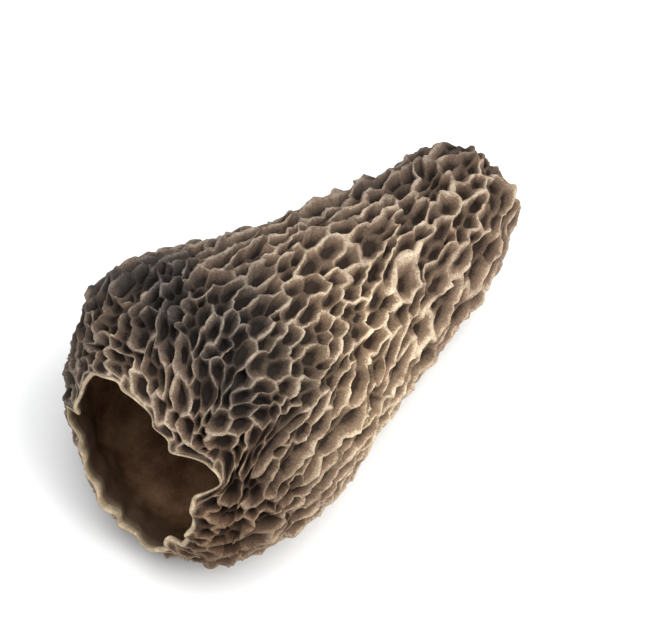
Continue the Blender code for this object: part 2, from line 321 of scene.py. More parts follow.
RUN, RUN_LENGTH, RUN_RADIUS, RUN_NORMAL_ALONG, RUN_NORMAL_OUT = profile_table()
RUN_TOTAL = np.hypot(np.diff(RUN_LENGTH), np.diff(RUN_RADIUS)).sum()
LEAN = math.atan((SHOULDER_HEIGHT - TIP_HEIGHT) / (TIP_AT - SHOULDER_AT))
MOUTH_HEIGHT = (SHOULDER_HEIGHT + SHOULDER_AT * math.tan(LEAN)) * math.cos(LEAN)
AXIS = np.array((math.cos(LEAN), 0.0, -math.sin(LEAN)))
UPWARD = np.array((math.sin(LEAN), 0.0, math.cos(LEAN)))
SIDEWARD = np.array((0.0, -1.0, 0.0))


def waves(points, wave_length, seed, parts, count=14):
    """Smooth random values at each point, `parts` of them, about 1 in size: sums of sine waves whose lengths
    are near wave_length and whose directions, phases and shares are drawn from the seed."""
    draw = np.random.default_rng(seed)
    way = draw.normal(size=(3, count))
    way *= 2 * math.pi / (wave_length * draw.uniform(0.7, 1.5, count) * np.linalg.norm(way, axis=0))
    phase = draw.uniform(0, 2 * math.pi, (count, parts))
    share = draw.normal(size=(count, parts))
    share /= np.sqrt((share**2).sum(axis=0) / 2)
    return (np.sin((points @ way)[:, :, None] + phase) * share).sum(axis=1)


def wrapped(turn, centre):
    """How far a turn is from a centre given in degrees, in degrees from -180 to 180."""
    return (np.degrees(turn) - centre + 180.0) % 360.0 - 180.0


def torn_share(turn, along):
    """The share of the profile's run at a point, once the tears and small nicks have pulled the mouth's
    edge back."""
    torn = np.zeros_like(turn)
    for centre, reach, half_width in MOUTH_TEARS:
        torn += reach * np.exp(-((wrapped(turn, centre) / half_width) ** 2))
    nicks = np.zeros_like(turn)
    for count, reach, phase in MOUTH_NICKS:
        nicks += reach * np.sin(count * turn + phase)
    return along + torn * (1.0 - along) ** TEAR_FADE + nicks * (1.0 - along) ** NICK_FADE


def skin(turn, along, depth):
    """Points at a turn round the axis (0 is up, a quarter turn is the -Y side), a share of the way from
    the mouth to the tip, and a depth under the crests. The radius is the profile's, swollen by the body's
    long waves, and no more than what the floor leaves under the axis. The depth runs along the normal, and
    the axis is shifted at both ends and bent in the middle."""
    share = torn_share(turn, along)
    length = np.interp(share, RUN, RUN_LENGTH)
    radius = np.interp(share, RUN, RUN_RADIUS)
    swell = 1.0
    for count, size, phase, twist in BODY_SWELLS:
        swell = swell + size * np.cos(count * turn + phase + twist * length / CAP_LENGTH)
    radius = radius * swell
    below = np.maximum(-np.cos(turn), 1e-3)
    height = (MOUTH_HEIGHT - length * math.sin(LEAN)) / math.cos(LEAN) + BELLY_SINK
    floor_radius = height / below
    radius = -np.logaddexp(-BELLY_SHARPNESS * radius / SHOULDER_RADIUS,
                           -BELLY_SHARPNESS * floor_radius / SHOULDER_RADIUS)
    radius = radius * SHOULDER_RADIUS / BELLY_SHARPNESS
    length = length - depth * np.interp(share, RUN, RUN_NORMAL_ALONG)
    radius = np.maximum(radius - depth * np.interp(share, RUN, RUN_NORMAL_OUT), 0.0)
    shift = MOUTH_SHIFT * (1 - smooth_step(length / MOUTH_SHIFT_RUN))
    shift = shift - TIP_SHIFT * smooth_step((length - CAP_LENGTH) / TIP_SHIFT_RUN + 1)
    up = radius * np.cos(turn) + shift * math.cos(SHIFT_TURN)
    side = radius * np.sin(turn) + shift * math.sin(SHIFT_TURN)
    side = side + BEND * np.exp(-(((length - BEND_AT) / BEND_REACH) ** 2))
    points = length[..., None] * AXIS + up[..., None] * UPWARD + side[..., None] * SIDEWARD
    return points + np.array((-CENTRE_X, -CENTRE_Y, MOUTH_HEIGHT))


def stretched_tables():
    """Down the run: the distance from the mouth's edge with the stretch of the pits squeezed out of it, the
    isometric latitude that lays this squeezed skin on a ball with its angles kept, which is the integral of
    the squeezed distance over the radius, and the turn that leads the net round at a steady angle."""
    arc = np.hypot(np.diff(RUN_LENGTH), np.diff(RUN_RADIUS))
    stretch = np.interp(RUN * RUN_TOTAL, *np.array(PIT_STRETCH).T)
    step = arc / ((stretch[1:] + stretch[:-1]) / 2)
    middle = np.maximum((RUN_RADIUS[1:] + RUN_RADIUS[:-1]) / 2, TIP_RADIUS)
    latitude = np.concatenate([[0.0], np.cumsum(step / middle)])
    twist = math.tan(TWIST) * np.cumsum(arc / np.maximum(middle, TWIST_LEAST_RADIUS))
    return (np.concatenate([[0.0], np.cumsum(step)]), latitude - np.interp(EQUATOR_AT, RUN, latitude),
            np.concatenate([[0.0], twist]))


SQUEEZED_RUN, LATITUDE, RUN_TWIST = stretched_tables()


def on_ball(turn, along):
    """The point of the unit ball that stands for a point of the skin, at the same turn, and as high on the
    ball as the hyperbolic tangent of its latitude."""
    z = np.tanh(np.interp(along, RUN, LATITUDE))
    ring = np.sqrt(1.0 - z * z)
    return np.stack([ring * np.cos(turn), ring * np.sin(turn), z], axis=-1)


def off_ball(points):
    """Turn and share of the way along for points of the ball, the other way round."""
    points = points / np.linalg.norm(points, axis=-1, keepdims=True)
    value = np.arctanh(np.clip(points[..., 2], -NEAR_POLE, NEAR_POLE))
    return np.arctan2(points[..., 1], points[..., 0]), np.interp(value, LATITUDE, RUN)


def scatter(darts, scale, stretch, seed):
    """Turns, shares along and spacings of scattered middles: a ring on the mouth's edge first, one at the
    tip, then random darts that keep their spacing from those already there. The spacing is PIT_SPACING times
    scale, wider on one side, and varies smoothly over the cap and from dart to dart. It is measured with the
    pits' stretch, and stretch besides, squeezed out."""
    draw = np.random.default_rng(seed)
    rim = round(RIM_PITS / scale)
    rim_turns = 2 * math.pi * (np.arange(rim) + draw.uniform(-RIM_JITTER, RIM_JITTER, rim)) / rim
    turns = np.concatenate([rim_turns, [0.0], draw.uniform(-math.pi, math.pi, darts)])
    alongs = np.concatenate([np.zeros(rim), [LAST_PIT], draw.uniform(0, 1, darts)])
    radii = np.interp(alongs, RUN, RUN_RADIUS)
    wanted = draw.uniform(0, SHOULDER_RADIUS, darts) < radii[rim + 1:]
    ahead = np.interp(alongs, RUN, SQUEEZED_RUN) / stretch
    slow = waves(skin(turns, alongs, np.zeros_like(turns)), SPACING_WAVE, seed + 1, 1)[:, 0]
    spacing = scale * np.interp(alongs * RUN_TOTAL, *np.array(PIT_SPACING).T)
    led = turns + np.interp(alongs, RUN, RUN_TWIST)
    spacing *= 1 + WIDE_SIDE * np.exp(-((wrapped(led, WIDE_TURN) / WIDE_REACH) ** 2))
    spacing *= 1 + SPACING_SPREAD * np.tanh(slow) + PIT_SPREAD * draw.uniform(-1, 1, len(turns))
    kept = list(range(rim + 1))
    for dart in np.flatnonzero(wanted) + rim + 1:
        sideways = np.mod(turns[kept] - turns[dart] + math.pi, 2 * math.pi) - math.pi
        apart = np.hypot(ahead[kept] - ahead[dart], radii[dart] * sideways)
        if np.all(apart > (spacing[kept] + spacing[dart]) / 2):
            kept.append(dart)
    return turns[kept], alongs[kept], spacing[kept]


def families(turns, alongs):
    """The number of the family that each pit belongs to: the nearest of the families' own middles."""
    family_turns, family_alongs, _ = scatter(FAMILY_DARTS, FAMILY_SPACING, FAMILY_STRETCH, SEED + 8)
    sideways = np.mod(turns[:, None] - family_turns + math.pi, 2 * math.pi) - math.pi
    sideways *= np.interp(alongs, RUN, RUN_RADIUS)[:, None]
    ahead = np.interp(alongs, RUN, SQUEEZED_RUN)[:, None] - np.interp(family_alongs, RUN, SQUEEZED_RUN)
    return np.argmin(np.hypot(ahead / FAMILY_STRETCH, sideways), axis=1)


def neighbour_triangles(ball_points):
    """Triangles between neighbouring pits, anticlockwise from outside: the faces of the convex hull of their
    points on the ball, without those that close the mouth."""
    hull = bpy.data.meshes.new("pit_hull")
    hull.from_pydata(ball_points.tolist(), [], [])
    ball = bmesh.new()
    ball.from_mesh(hull)
    bmesh.ops.convex_hull(ball, input=ball.verts[:])
    ball.to_mesh(hull)
    ball.free()
    triangles = np.empty(3 * len(hull.polygons), np.int32)
    hull.polygons.foreach_get("vertices", triangles)
    bpy.data.meshes.remove(hull)
    triangles = triangles.reshape(-1, 3).astype(int)
    first, second, third = ball_points[triangles].transpose(1, 0, 2)
    inward = (np.cross(second - first, third - first) * first).sum(axis=1) < 0
    triangles[inward] = triangles[inward, ::-1]
    return triangles[triangles.max(axis=1) >= RIM_PITS]


def net_links(triangles, pit_count):
    """The net as directed links. Link d looks from pit[d] to a neighbour, across a crest that runs
    anticlockwise round the pit from corner start[d] of the net to corner end[d]. Its twin looks the other
    way. Spokes run from a corner to the pit's middle: spoke_start[d] and spoke_end[d] are their numbers. On
    the mouth's edge a link without a twin gets one, with a corner of its own on the edge."""
    count = len(triangles)
    pit = triangles.T.ravel()
    other = np.roll(triangles, -1, axis=1).T.ravel()
    following = np.roll(np.arange(3 * count).reshape(3, count), -1, axis=0).ravel()
    lone = np.flatnonzero(~np.isin(pit * pit_count + other, other * pit_count + pit))
    pit, other = np.concatenate([pit, other[lone]]), np.concatenate([other, pit[lone]])
    end = np.concatenate([np.tile(np.arange(count), 3), count + np.arange(len(lone))])
    code = pit * pit_count + other
    order = np.argsort(code)
    twin = order[np.searchsorted(code, other * pit_count + pit, sorter=order)]
    spoke_start = np.empty_like(twin)
    has_spoke = twin < 3 * count
    spoke_start[has_spoke] = following[twin[has_spoke]]
    spoke_start[lone] = len(pit) + np.arange(len(lone))
    return {"pit": pit, "other": other, "start": end[twin], "end": end, "twin": twin,
            "spoke_start": spoke_start, "spoke_end": np.arange(len(pit)), "lone": lone}


def net_rise(along):
    """How high the net stands at a share of the way along: 0 on the mouth's edge, 1 past its run in."""
    return smooth_step(along * RUN_TOTAL / NET_RUN_IN)


def hollow_rise(along):
    """How far the hollow's wall has sunk under the net at a share of the way along, quickly and then gently:
    1 less the cube of the share of its run in that is left."""
    return 1 - (1 - np.clip(along * RUN_TOTAL / HOLLOW_RUN_IN, 0, 1)) ** 3


def crest_heights(links, family, corner_points, corner_along):
    """Heights of the crests as shares of the net's depth, for each link and for each corner of the net. A
    rib that runs along the cap is higher than one that runs round it, except by the mouth, and folds are
    lower than ribs. A corner is nearly as high as its highest crests."""
    draw = np.random.default_rng(SEED + 2)
    run = corner_points[links["end"]] - corner_points[links["start"]]
    lengthwise = (run @ AXIS / np.maximum(np.linalg.norm(run, axis=1), TINY)) ** 2
    by_mouth = 1 - smooth_step(corner_along[links["end"]] * RUN_TOTAL / CROSS_REACH)
    lengthwise = np.maximum(lengthwise, by_mouth)
    pair = np.minimum(np.arange(len(run)), links["twin"])
    fold = family[links["pit"]] == family[links["other"]]
    lowest, highest = np.where(fold, CROSS_FOLD, CROSS_RIB), np.where(fold, FOLD, 1.0)
    height = lowest + (highest - lowest) * lengthwise
    height += CREST_SPREAD * draw.uniform(-1, 0.7, len(run))[pair]
    count = np.bincount(links["end"])
    mean = np.bincount(links["end"], weights=height**CORNER_POWER) / count
    return height, mean ** (1 / CORNER_POWER)


def number_patches(links, taken):
    """The vertex number of each sample of each link's patch, by step along the crest and ring inwards, and
    how many are taken in all. The corners' numbers are taken first. Then come the crests between them, which
    a link shares with its twin, the other way round, the spokes, which it shares with its neighbours round
    the pit, and the samples inside the patch."""
    count, steps, rings = len(links["pit"]), EDGE_STEPS, len(PIT_RINGS)
    number = np.empty((count, steps + 1, rings), int)
    number[:, 0, 0] = links["start"]
    number[:, -1, 0] = links["end"]
    pair = np.unique(np.minimum(np.arange(count), links["twin"]), return_inverse=True)[1]
    forward = np.arange(count) < links["twin"]
    step = np.where(forward[:, None], np.arange(steps - 1), np.arange(steps - 1)[::-1])
    number[:, 1:-1, 0] = taken + pair[:, None] * (steps - 1) + step
    taken += (pair.max() + 1) * (steps - 1)
    ring = np.arange(rings - 1)
    number[:, 0, 1:] = taken + links["spoke_start"][:, None] * (rings - 1) + ring
    number[:, -1, 1:] = taken + links["spoke_end"][:, None] * (rings - 1) + ring
    taken += (count + len(links["lone"])) * (rings - 1)
    inside = count * (steps - 1) * (rings - 1)
    number[:, 1:-1, 1:] = taken + np.arange(inside).reshape(count, steps - 1, rings - 1)
    return number, taken + inside


def build_net():
    """The outside: arrays of turn, share along, depth and crest share for its vertices, its quads and
    triangles, and the vertices of the mouth's edge in order of turn. Each link's patch is a grid of samples
    along its crest by rings towards the pit's middle, mixed on the ball between the crest and the middle.
    How near the rings are to the crest, which makes it thin or broad, goes with the place and the pit. A
    crest's top is a parabola between its corners, and each ring lies a share of the way down from it to the
    pit's floor."""
    pit_turn, pit_along, pit_size = scatter(PIT_DARTS, 1.0, 1.0, SEED)
    pit_ball = on_ball(pit_turn, pit_along)
    triangles = neighbour_triangles(pit_ball)
    links = net_links(triangles, len(pit_turn))
    pit, lone = links["pit"], links["lone"]

    pull = 1 / pit_size[triangles]
    corner_turn, corner_along = off_ball((pit_ball[triangles] * pull[..., None]).sum(axis=1))
    edge_ball = pit_ball[pit[lone]] + pit_ball[links["other"][lone]]
    corner_turn = np.concatenate([corner_turn, off_ball(edge_ball)[0]])
    corner_along = np.concatenate([corner_along, np.zeros(len(lone))])
    corner_ball = on_ball(corner_turn, corner_along)
    corner_points = skin(corner_turn, corner_along, np.zeros_like(corner_turn))
    family = families(pit_turn, pit_along)
    link_height, corner_height = crest_heights(links, family, corner_points, corner_along)

    draw = np.random.default_rng(SEED + 3)
    pit_depth = draw.uniform(SHALLOWEST_PIT, DEEPEST_PIT, len(pit_turn))
    thin, sunk = np.array(PIT_RINGS).T
    broad = smooth_step((pit_along * RUN_TOTAL - BROAD_FROM) / BROAD_FADE)
    inward = thin + (np.array(BROAD_RINGS) - thin) * broad[:, None]
    inward = inward * draw.uniform(1 - RING_SPREAD, 1 + RING_SPREAD, (len(pit_turn), 1))
    inward = inward[pit, None, :, None]
    u = np.linspace(0, 1, EDGE_STEPS + 1)[None, :]
    crest_ball = (corner_ball[links["start"]][:, None] * (1 - u[..., None])
                  + corner_ball[links["end"]][:, None] * u[..., None])
    patch_ball = crest_ball[:, :, None] * (1 - inward) + pit_ball[pit][:, None, None] * inward
    patch_turn, patch_along = off_ball(patch_ball)

    sag = 4 * MIDWAY_SAG * u * (1 - u)
    height = corner_height[links["start"]][:, None] * (1 - u) + corner_height[links["end"]][:, None] * u
    height = height * (1 - sag) + link_height[:, None] * sag
    top = (1 - height)[:, :, None]
    patch_depth = top + (pit_depth[pit][:, None, None] - top) * sunk
    patch_crest = height[:, :, None] * (1 - sunk)

    number, taken = number_patches(links, len(corner_turn))
    middle = taken + np.arange(len(pit_turn))

    turn, along, depth, crest = (np.zeros(taken + len(pit_turn)) for _ in range(4))
    for values, patch, at_middle in (
        (turn, patch_turn, pit_turn),
        (along, patch_along, pit_along),
        (depth, patch_depth, pit_depth * MIDDLE_DEPTH),
        (crest, patch_crest, 0.0),
    ):
        values[number] = patch
        values[middle] = at_middle
    depth *= NET_DEPTH * net_rise(along)

    quads = np.stack([number[:, :-1, :-1], number[:, 1:, :-1],
                      number[:, 1:, 1:], number[:, :-1, 1:]], axis=-1)
    fans = np.stack([number[:, :-1, -1], number[:, 1:, -1],
                     np.repeat(middle[pit][:, None], EDGE_STEPS, axis=1)], axis=-1)
    edge = np.concatenate([number[lone, 0].ravel(), number[links["twin"][lone], -1, 1:].ravel(),
                           middle[:RIM_PITS]])
    edge = edge[np.argsort(np.mod(turn[edge], 2 * math.pi))]
    turn += np.interp(along, RUN, RUN_TWIST)
    return (turn, along, depth, crest), quads.reshape(-1, 4), fans.reshape(-1, 3), edge


def build_hollow(edge_turn):
    """The lip and the hollow's wall, as rings of columns at the edge's turns: arrays of turn, share along,
    depth and push out of the mouth, ring by ring. The lip is half a circle across its thickness, which varies
    round the mouth, and the wall then keeps under the deepest pits, to a last point under the tip."""
    columns = len(edge_turn)
    edge_points = skin(edge_turn, np.zeros(columns), np.zeros(columns))
    thickness = waves(edge_points, LIP_SPREAD_WAVE, SEED + 13, 1)[:, 0]
    thickness = LIP_THICKNESS * (1 + LIP_SPREAD * np.tanh(thickness))
    arc = math.pi * np.arange(1, LIP_STEPS + 1) / LIP_STEPS
    wall_along = (np.arange(1, HOLLOW_RINGS) / HOLLOW_RINGS) ** HOLLOW_CROWDING
    along = np.concatenate([np.zeros(LIP_STEPS), wall_along])
    across = np.concatenate([(1 - np.cos(arc)) / 2, np.ones(HOLLOW_RINGS - 1)])
    ahead = np.concatenate([np.sin(arc) / 2, np.zeros(HOLLOW_RINGS - 1)])
    sunk = NET_DEPTH * DEEPEST_PIT * MIDDLE_DEPTH * hollow_rise(along)
    depth = (across[:, None] * thickness + sunk[:, None]).ravel()
    push = (ahead[:, None] * thickness).ravel()
    return (np.append(np.tile(edge_turn, len(along)), 0.0), np.append(np.repeat(along, columns), 1.0),
            np.append(depth, LIP_THICKNESS + sunk[-1]), np.append(push, 0.0))


def zones(turn, along):
    """Masks for the finish, most of them bells in turn and run. The grey mask is the grey-black skin behind
    the mouth, partly painted shade, and painted shade along the +Y side. The pale mask is the pale skin
    halfway along the -Y side, partly painted light. The browner mask is a darker, browner colour between it
    and the mouth. lip is the torn edge, dying away on both its sides, and rim the few millimetres by it,
    where the hollow's wall gets painted shade."""
    run = along * RUN_TOTAL
    grey_and_painted_shade = np.exp(-((wrapped(turn, GREY_AND_PAINTED_SHADE_TURN) / GREY_AND_PAINTED_SHADE_WIDTH) ** 4))
    grey_and_painted_shade *= 1 - smooth_step((run - GREY_AND_PAINTED_SHADE_REACH) / GREY_AND_PAINTED_SHADE_FADE)
    grey_and_painted_shade *= smooth_step((run - GREY_AND_PAINTED_SHADE_FROM) / GREY_AND_PAINTED_SHADE_RISE)
    grey_and_painted_shade += (1 - grey_and_painted_shade) * BACK_PAINTED_SHADE * np.exp(-((wrapped(turn, BACK_PAINTED_SHADE_TURN) / BACK_PAINTED_SHADE_WIDTH) ** 2))
    pale_and_painted_light = np.exp(-((wrapped(turn, PALE_AND_PAINTED_LIGHT_TURN) / PALE_AND_PAINTED_LIGHT_WIDTH) ** 2))
    pale_and_painted_light *= np.exp(-(((run - PALE_AND_PAINTED_LIGHT_MIDDLE) / PALE_AND_PAINTED_LIGHT_REACH) ** 2))
    browner_by_mouth = np.exp(-((wrapped(turn, BROWNER_BY_MOUTH_TURN) / BROWNER_BY_MOUTH_WIDTH) ** 4))
    browner_by_mouth *= 1 - smooth_step(run / BROWNER_BY_MOUTH_REACH)
    return {"grey_and_painted_shade": grey_and_painted_shade, "pale_and_painted_light": pale_and_painted_light, "browner_by_mouth": browner_by_mouth, "lip": np.exp(-((run / LIP_FADE) ** 2)),
            "rim": np.exp(-((run / RIM_PAINTED_SHADE_FADE) ** 2))}


def drift(points, turn, along, crest, outside):
    """The points once the cap has dried. Each is moved by the sum of smooth random waves: long ones for the
    whole form, shorter ones for the net, so that its crests wander and lean, and others for the curl of the
    lip and the hollow's wall. The belly is level where it meets the floor. The first `outside` points are the
    net's."""
    in_net = np.arange(len(turn)) < outside
    rise = net_rise(along) * in_net
    by_lip = np.exp(-((along * RUN_TOTAL / LIP_CURL_FADE) ** 2))
    top = skin(turn, along, np.zeros_like(along))
    body = points + waves(points, BODY_WAVE, BODY_SEED, 3) * BODY_DRIFT
    for source, wave, seed, size, share in (
        (points, NET_WAVE, SEED + 5, NET_DRIFT, rise * (FLOOR_SHARE + (1 - FLOOR_SHARE) * crest)),
        (points, LEAN_WAVE, SEED + 6, LEAN_DRIFT, rise * crest),
        (points, CREST_WAVE, SEED + 7, CREST_DRIFT, rise * crest),
        (points, WRINKLE_WAVE, SEED + 12, WRINKLE, rise),
        (top, LIP_CURL_WAVE, SEED + 10, LIP_CURL, by_lip),
        (points, HOLLOW_WAVE, SEED + 11, HOLLOW_DRIFT, ~in_net * (1 - by_lip)),
    ):
        body += waves(source, wave, seed, 3) * size * share[:, None]
    body[:, 2] = np.maximum(body[:, 2], 0.0)
    return body


def wall_faces(edge, first, pole):
    """The faces of the lip and the hollow's wall: quads between rings, from the net's edge through rings of
    points numbered from first, and triangles round the last point, the pole."""
    wall = np.vstack([edge, np.arange(first, pole).reshape(-1, len(edge))])
    after = np.roll(wall, -1, axis=1)
    quads = np.stack([wall[:-1], wall[1:], after[1:], after[:-1]], axis=-1)
    fans = np.stack([wall[-1], np.full(len(edge), pole), after[-1]], axis=-1)
    return quads.reshape(-1, 4), fans


def build_skin():
    """The whole cap as one closed mesh: the net, and the lip and the hollow's wall hung on its edge. The lip
    is pushed out of the mouth, straight on from the skin. Its attributes are the masks of the finish."""
    (turn, along, depth, crest), quads, fans, edge = build_net()
    outside = len(turn)
    hollow_turn, hollow_along, hollow_depth, hollow_push = build_hollow(turn[edge])
    turn = np.concatenate([turn, hollow_turn])
    along = np.concatenate([along, hollow_along])
    depth = np.concatenate([depth, hollow_depth])
    crest = np.concatenate([crest, np.zeros(len(hollow_push))])
    push = np.concatenate([np.zeros(outside), hollow_push])

    points = skin(turn, along, depth)
    way_out = points - skin(turn, along + LIP_STEP, depth)
    points += push[:, None] * way_out / np.maximum(np.linalg.norm(way_out, axis=1), TINY)[:, None]
    body = drift(points, turn, along, crest, outside)
    wall_quads, wall_fans = wall_faces(edge, outside, len(turn) - 1)

    mesh = bpy.data.meshes.new("morel_skin")
    faces = quads.tolist() + fans.tolist() + wall_quads.tolist() + wall_fans.tolist()
    mesh.from_pydata(body.tolist(), [], faces)
    mesh.shade_smooth()
    materials = np.zeros(len(faces), np.int32)
    materials[len(quads) + len(fans) + len(edge) * LIP_STEPS:] = 1
    mesh.polygons.foreach_set("material_index", materials)
    for name, values in {"crest": crest, **zones(turn, along)}.items():
        layer = mesh.attributes.new(name, "FLOAT", "POINT")
        layer.data.foreach_set("value", values.astype(np.float32))
    return mesh


morel = bpy.data.objects.new("morel_skin", build_skin())
bpy.context.scene.collection.objects.link(morel)
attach(morel, "root")
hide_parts("morel_cap")


def add_node(tree, kind, **values):
    """A node of that kind. A value sets the input of its name, with _ for a space, or else a property."""
    node = tree.nodes.new(kind)
    for name, value in values.items():
        socket = node.inputs.get(name.replace("_", " "))
        if socket is None:
            setattr(node, name, value)
        else:
            socket.default_value = value
    return node


def mask(tree, name):
    """A value from the mesh's own attribute."""
    return add_node(tree, "ShaderNodeAttribute", attribute_name=name).outputs["Fac"]


def mix_colours(tree, share, first, second, blend="MIX"):
    """first where share is 0, second where it is 1. Each is a colour, or a socket that gives one."""
    node = add_node(tree, "ShaderNodeMix", data_type="RGBA", blend_type=blend)
    for socket, value in zip((node.inputs[0], node.inputs[6], node.inputs[7]), (share, first, second)):
        if isinstance(value, bpy.types.NodeSocket):
            tree.links.new(value, socket)
        elif isinstance(value, tuple):
            socket.default_value = (*value, 1.0)
        else:
            socket.default_value = value
    return node.outputs[2]


def calculate(tree, operation, first, second=0.0, clamp=False):
    """A Math node of two values or sockets."""
    node = add_node(tree, "ShaderNodeMath", operation=operation, use_clamp=clamp)
    for socket, value in zip(node.inputs, (first, second)):
        if isinstance(value, bpy.types.NodeSocket):
            tree.links.new(value, socket)
        else:
            socket.default_value = value
    return node.outputs[0]


def noise(tree, size, detail=4.0, roughness=0.55, distortion=0.0):
    """Noise in Object coordinates, with features of about that size."""
    place = add_node(tree, "ShaderNodeTexCoord").outputs["Object"]
    node = add_node(tree, "ShaderNodeTexNoise", Scale=1 / size, Detail=detail, Roughness=roughness,
                    Distortion=distortion)
    tree.links.new(place, node.inputs["Vector"])
    return node.outputs["Fac"]


def remap(tree, value, low, high, to_low=0.0, to_high=1.0):
    """The value with low to high laid on to_low to to_high, and kept between them."""
    node = add_node(tree, "ShaderNodeMapRange")
    tree.links.new(value, node.inputs[0])
    for socket, number in zip(node.inputs[1:5], (low, high, to_low, to_high)):
        socket.default_value = number
    return node.outputs[0]


def new_group(name, inputs, outputs):
    """An empty node group with (kind, name, value) inputs and (kind, name) outputs."""
    group = bpy.data.node_groups.new(name, "ShaderNodeTree")
    for kind, label, value in inputs:
        socket = group.interface.new_socket(label, in_out="INPUT", socket_type=f"NodeSocket{kind}")
        socket.default_value = value
    for kind, label in outputs:
        group.interface.new_socket(label, in_out="OUTPUT", socket_type=f"NodeSocket{kind}")
    return group, group.nodes.new("NodeGroupInput"), group.nodes.new("NodeGroupOutput")


def dried_grain_group():
    """The fine dry surface: threads, and crumbs that are finer. Crumbs is a 0 to 1 value of both for tinting,
    and Height is for a bump, where each is weighed by its input."""
    group, given, result = new_group(
        "dried_grain",
        (("Float", "Thread size", SKIN_THREAD), ("Float", "Threads", 0.6), ("Float", "Crumbs", 0.4)),
        (("Float", "Crumbs"), ("Float", "Height")),
    )
    place = add_node(group, "ShaderNodeTexCoord").outputs["Object"]
    threads = add_node(group, "ShaderNodeTexNoise", Detail=6.0, Roughness=0.6, Distortion=1.2)
    scale = calculate(group, "DIVIDE", 1.0, given.outputs["Thread size"])
    group.links.new(scale, threads.inputs["Scale"])
    group.links.new(place, threads.inputs["Vector"])
    crumbs = noise(group, CRUMB_SIZE, detail=3.0, roughness=0.7)
    thread_height = calculate(group, "MULTIPLY", threads.outputs["Fac"], given.outputs["Threads"])
    crumb_height = calculate(group, "MULTIPLY", crumbs, given.outputs["Crumbs"])
    group.links.new(calculate(group, "ADD", thread_height, crumb_height), result.inputs["Height"])
    group.links.new(remap(group, calculate(group, "ADD", threads.outputs["Fac"], crumbs), 0.7, 1.3),
                    result.inputs["Crumbs"])
    return group


def torn_edge_group():
    """The pale torn edge, partly its own colour and partly painted light. Share is how much of its colour
    shows: the
    Mask, times Least in the places where it is rubbed.
    """
    group, given, result = new_group(
        "torn_edge",
        (("Float", "Mask", 0.0), ("Float", "Least", WORN_LEAST)),
        (("Float", "Share"),),
    )
    fresh = remap(group, noise(group, WORN_PATCH, detail=2.0), 0.36, 0.56)
    kept = calculate(group, "MAXIMUM", fresh, given.outputs["Least"])
    group.links.new(calculate(group, "MULTIPLY", kept, given.outputs["Mask"]), result.inputs["Share"])
    return group


def place_group(tree, group, **values):
    """A node for a group, with inputs set by name, and _ for a space."""
    node = tree.nodes.new("ShaderNodeGroup")
    node.node_tree = group
    for name, value in values.items():
        node.inputs[name.replace("_", " ")].default_value = value
    return node


def edge_share(tree, torn_edge):
    """How much of the torn edge's colour shows, on a material."""
    node = place_group(tree, torn_edge)
    tree.links.new(mask(tree, "lip"), node.inputs["Mask"])
    return node.outputs["Share"]


def new_material(name):
    """A material with its Principled shader, dull and without a metal's shine."""
    material = bpy.data.materials.new(name)
    material.use_nodes = True
    shader = material.node_tree.nodes["Principled BSDF"]
    shader.inputs["Metallic"].default_value = 0.0
    shader.inputs["Specular IOR Level"].default_value = 0.25
    return material, material.node_tree, shader


def add_bump(tree, shader, height, distance, strength):
    """Lets a height stand out of the shader's surface by up to that distance."""
    bump = add_node(tree, "ShaderNodeBump", Strength=strength, Distance=distance)
    tree.links.new(height, bump.inputs["Height"])
    tree.links.new(bump.outputs["Normal"], shader.inputs["Normal"])


def blotched(tree, name, blotch, ranges):
    """A mask times the blotches, once they are remapped by the ranges, and 1 at the most."""
    return calculate(tree, "MULTIPLY", mask(tree, name), remap(tree, blotch, *ranges), clamp=True)


